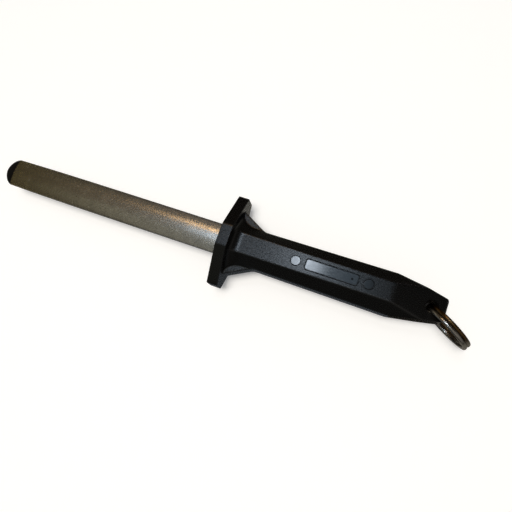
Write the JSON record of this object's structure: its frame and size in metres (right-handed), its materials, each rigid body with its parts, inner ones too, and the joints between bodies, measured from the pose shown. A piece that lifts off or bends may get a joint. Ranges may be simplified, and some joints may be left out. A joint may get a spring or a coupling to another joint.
{
  "type": "knife sharpening steel",
  "caption": "Oval abrasive sharpening rod with a rounded tip cap, a moulded eight-sided handle with a wide guard, and a split ring that swings in the tail.",
  "frame": {"origin": "middle of the guard's lower facet, on which the steel stands when it is laid down", "axes": "+X along the rod from the tip to the tail, +Y across the handle, +Z out of the flat that carries the inlaid plate"},
  "size_m": [0.4021, 0.073, 0.0484],
  "materials": {
    "abrasive_steel": "diamond grit in a plated layer, sparkling and rough",
    "cap_plastic": "moulded, matt black",
    "handle_plastic": "moulded, finely grained black",
    "smooth_plastic": "moulded, polished black",
    "pin_steel": "plain drawn steel",
    "ring_steel": "nickel plated wire"
  },
  "bodies": {
    "steel": {"sharpening_rod": "abrasive_steel", "tip_cap": "cap_plastic", "handle": "handle_plastic", "inlay_plate": "smooth_plastic", "front_plug": "smooth_plastic", "rear_plug": "smooth_plastic", "front_pin": "pin_steel", "rear_pin": "pin_steel"},
    "ring": {"split_ring": "ring_steel"}
  },
  "joints": [
    {"name": "ring_swing", "type": "hinge", "parent": "steel", "child": "ring", "pos_m": [0.1577, 0, 0.0242], "axis": [0, 0, 1], "range_deg": [-109, 171]}
  ]
}
